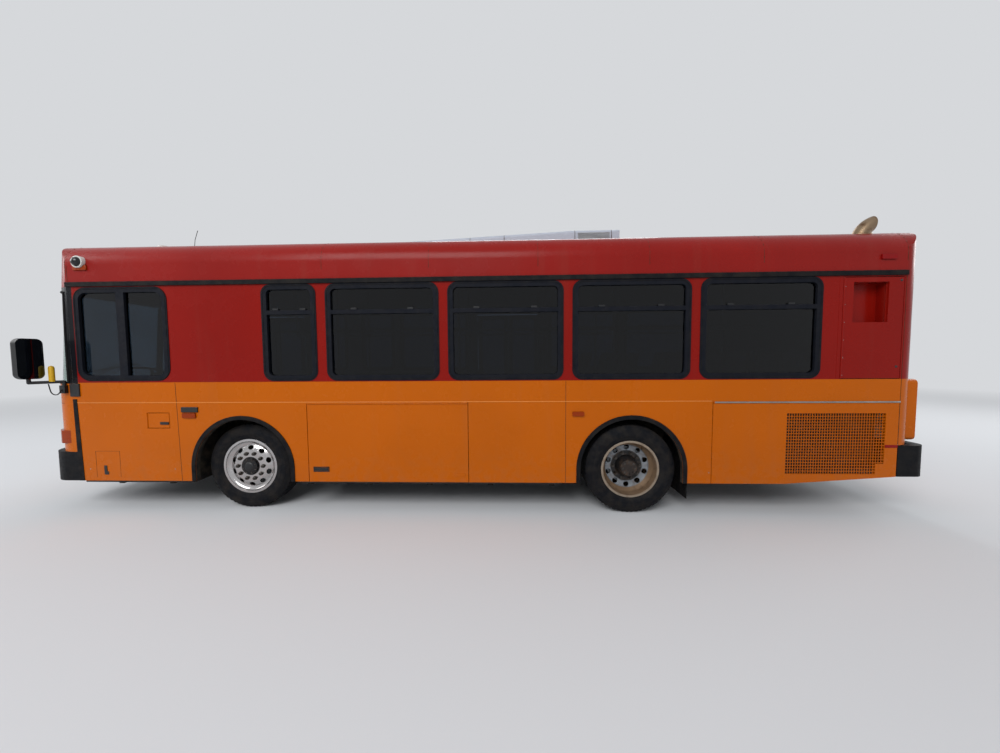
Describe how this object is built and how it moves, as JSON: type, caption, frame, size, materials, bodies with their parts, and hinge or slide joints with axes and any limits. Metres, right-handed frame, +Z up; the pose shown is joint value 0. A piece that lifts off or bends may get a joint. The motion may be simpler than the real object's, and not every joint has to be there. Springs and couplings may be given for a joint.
{
  "type": "city bus",
  "caption": "Short low-floor city bus with two passenger doors, steered front wheels and twin rear wheels, hinged service doors and a rear engine bay.",
  "frame": {"origin": "on the ground below the middle of the bus's length and width", "axes": "+X forward along the bus, +Y to its left side, +Z up"},
  "size_m": [9.3598, 3.2, 3.1434],
  "materials": {
    "body_paint": "gloss",
    "roof_paint": "gloss",
    "unit_paint": "satin",
    "black_rubber": "matte",
    "black_plastic": "satin",
    "dark_glass": "gloss",
    "tyre": "matte",
    "polished_wheel": "polished",
    "steel_wheel": "satin",
    "chassis_black": "matte",
    "cast_metal": "rough",
    "cooler_metal": "matte",
    "floor_rubber": "matte",
    "lining": "satin",
    "seat_plastic": "satin",
    "seat_fabric": "woven",
    "steel_tube": "satin",
    "dash_plastic": "matte",
    "lamp_plastic": "gloss",
    "exhaust_steel": "weathered",
    "door_paint": "gloss"
  },
  "bodies": {
    "bus_body": {"left_wall": "body_paint", "right_wall": "body_paint", "roof": "roof_paint", "front_cap": "body_paint", "rear_cap": "body_paint", "windscreen": "dark_glass", "bumpers": "black_rubber", "rails_and_arch_lips": "black_rubber", "window_frames": "black_rubber", "window_panes": "dark_glass", "floors": "floor_rubber", "wheel_boxes": "lining", "underframe": "chassis_black", "engine_block": "cast_metal", "radiator": "cooler_metal", "front_axle": "cast_metal", "rear_axle": "cast_metal", "air_springs": "black_rubber", "mirrors": "black_plastic", "lamps": "lamp_plastic", "roof_unit": "unit_paint", "exhaust_stack": "exhaust_steel", "roof_fittings": "lining", "seat_shells": "seat_plastic", "seat_pads": "seat_fabric", "seat_legs": "chassis_black", "dashboard": "dash_plastic", "steering_wheel": "black_plastic", "driver_seat": "seat_fabric", "grab_rails": "steel_tube", "door_headers": "lining", "ramp": "steel_tube", "sign_box": "black_plastic", "mudflaps": "black_rubber"},
    "battery_door": {"battery_door": "body_paint"},
    "radiator_door": {"radiator_door": "body_paint", "radiator_grille": "body_paint"},
    "small_flap": {"small_flap": "body_paint"},
    "upper_side_door": {"upper_side_door": "roof_paint"},
    "engine_door": {"engine_door": "body_paint"},
    "rear_upper_door": {"rear_upper_door": "roof_paint"},
    "front_hatch": {"front_hatch": "lining"},
    "rear_hatch": {"rear_hatch": "lining"},
    "front_door_arm_front": {"front_door_arm_front": "steel_tube"},
    "front_door_arm_rear": {"front_door_arm_rear": "steel_tube"},
    "front_door_leaf_front": {"front_door_leaf_front": "door_paint"},
    "front_door_leaf_rear": {"front_door_leaf_rear": "door_paint"},
    "rear_door_leaf_front": {"rear_door_leaf_front": "door_paint"},
    "rear_door_leaf_rear": {"rear_door_leaf_rear": "door_paint"},
    "knuckle_left": {"knuckle_left": "cast_metal"},
    "knuckle_right": {"knuckle_right": "cast_metal"},
    "front_left_wheel": {"front_left_tyre": "tyre", "front_left_rim": "polished_wheel"},
    "front_right_wheel": {"front_right_tyre": "tyre", "front_right_rim": "polished_wheel"},
    "rear_left_wheels": {"rear_left_tyres": "tyre", "rear_left_rims": "steel_wheel"},
    "rear_right_wheels": {"rear_right_tyres": "tyre", "rear_right_rims": "steel_wheel"}
  },
  "joints": [
    {"name": "steering", "type": "hinge", "parent": "bus_body", "child": "knuckle_left", "pos_m": [2.41, 0.92, 0.47], "axis": [0, 0, 1], "range_deg": [-40, 40]},
    {"name": "steering_right", "type": "hinge", "parent": "bus_body", "child": "knuckle_right", "pos_m": [2.41, -0.92, 0.47], "axis": [0, 0, 1], "range_deg": [-40, 40]},
    {"name": "front_left_roll", "type": "hinge", "parent": "knuckle_left", "child": "front_left_wheel", "pos_m": [2.41, 1.1, 0.47], "axis": [0, 1, 0], "continuous": true},
    {"name": "front_right_roll", "type": "hinge", "parent": "knuckle_right", "child": "front_right_wheel", "pos_m": [2.41, -1.1, 0.47], "axis": [0, 1, 0], "continuous": true},
    {"name": "rear_left_roll", "type": "hinge", "parent": "bus_body", "child": "rear_left_wheels", "pos_m": [-1.725, 1, 0.47], "axis": [0, 1, 0], "continuous": true},
    {"name": "rear_right_roll", "type": "hinge", "parent": "bus_body", "child": "rear_right_wheels", "pos_m": [-1.725, -1, 0.47], "axis": [0, 1, 0], "continuous": true},
    {"name": "front_door", "type": "hinge", "parent": "bus_body", "child": "front_door_arm_front", "pos_m": [4.235, -1.22, 1.4], "axis": [0, 0, -1], "range_deg": [0, 88]},
    {"name": "front_door_leaf_front_turn", "type": "hinge", "parent": "front_door_arm_front", "child": "front_door_leaf_front", "pos_m": [3.93, -1.22, 1.4], "axis": [0, 0, -1], "range_deg": [-176, 0]},
    {"name": "front_door_arm_rear_turn", "type": "hinge", "parent": "bus_body", "child": "front_door_arm_rear", "pos_m": [3.105, -1.22, 1.4], "axis": [0, 0, 1], "range_deg": [0, 88]},
    {"name": "front_door_leaf_rear_turn", "type": "hinge", "parent": "front_door_arm_rear", "child": "front_door_leaf_rear", "pos_m": [3.41, -1.22, 1.4], "axis": [0, 0, 1], "range_deg": [-176, 0]},
    {"name": "rear_door", "type": "hinge", "parent": "bus_body", "child": "rear_door_leaf_front", "pos_m": [0.097, -1.294, 1.4], "axis": [0, 0, 1], "range_deg": [0, 88]},
    {"name": "rear_door_leaf_rear_turn", "type": "hinge", "parent": "bus_body", "child": "rear_door_leaf_rear", "pos_m": [-0.947, -1.294, 1.4], "axis": [0, 0, -1], "range_deg": [0, 88]},
    {"name": "battery_door_lift", "type": "hinge", "parent": "bus_body", "child": "battery_door", "pos_m": [0.83, 1.297, 1.18], "axis": [1, 0, 0], "range_deg": [0, 85]},
    {"name": "radiator_door_lift", "type": "hinge", "parent": "bus_body", "child": "radiator_door", "pos_m": [-3.458, 1.297, 1.18], "axis": [1, 0, 0], "range_deg": [0, 85]},
    {"name": "small_flap_turn", "type": "hinge", "parent": "bus_body", "child": "small_flap", "pos_m": [3.447, 1.297, 0.998], "axis": [0, 0, -1], "range_deg": [0, 100]},
    {"name": "upper_side_door_turn", "type": "hinge", "parent": "bus_body", "child": "upper_side_door", "pos_m": [-3.784, 1.297, 1.917], "axis": [0, 0, -1], "range_deg": [0, 95]},
    {"name": "engine_door_lift", "type": "hinge", "parent": "bus_body", "child": "engine_door", "pos_m": [-4.57, 0, 1.402], "axis": [0, 1, 0], "range_deg": [0, 80]},
    {"name": "rear_upper_door_lift", "type": "hinge", "parent": "bus_body", "child": "rear_upper_door", "pos_m": [-4.552, 0, 2.44], "axis": [0, 1, 0], "range_deg": [0, 80]},
    {"name": "front_hatch_lift", "type": "hinge", "parent": "bus_body", "child": "front_hatch", "pos_m": [2.238, 0, 2.951], "axis": [0, 1, 0], "range_deg": [0, 60]},
    {"name": "rear_hatch_lift", "type": "hinge", "parent": "bus_body", "child": "rear_hatch", "pos_m": [-2.482, 0, 2.951], "axis": [0, 1, 0], "range_deg": [0, 60]}
  ],
  "couplings": [
    {"joint": "steering_right", "follows": "steering", "ratio": 1},
    {"joint": "front_door_leaf_front_turn", "follows": "front_door", "ratio": -2},
    {"joint": "front_door_arm_rear_turn", "follows": "front_door", "ratio": 1},
    {"joint": "front_door_leaf_rear_turn", "follows": "front_door", "ratio": -2},
    {"joint": "rear_door_leaf_rear_turn", "follows": "rear_door", "ratio": 1}
  ]
}
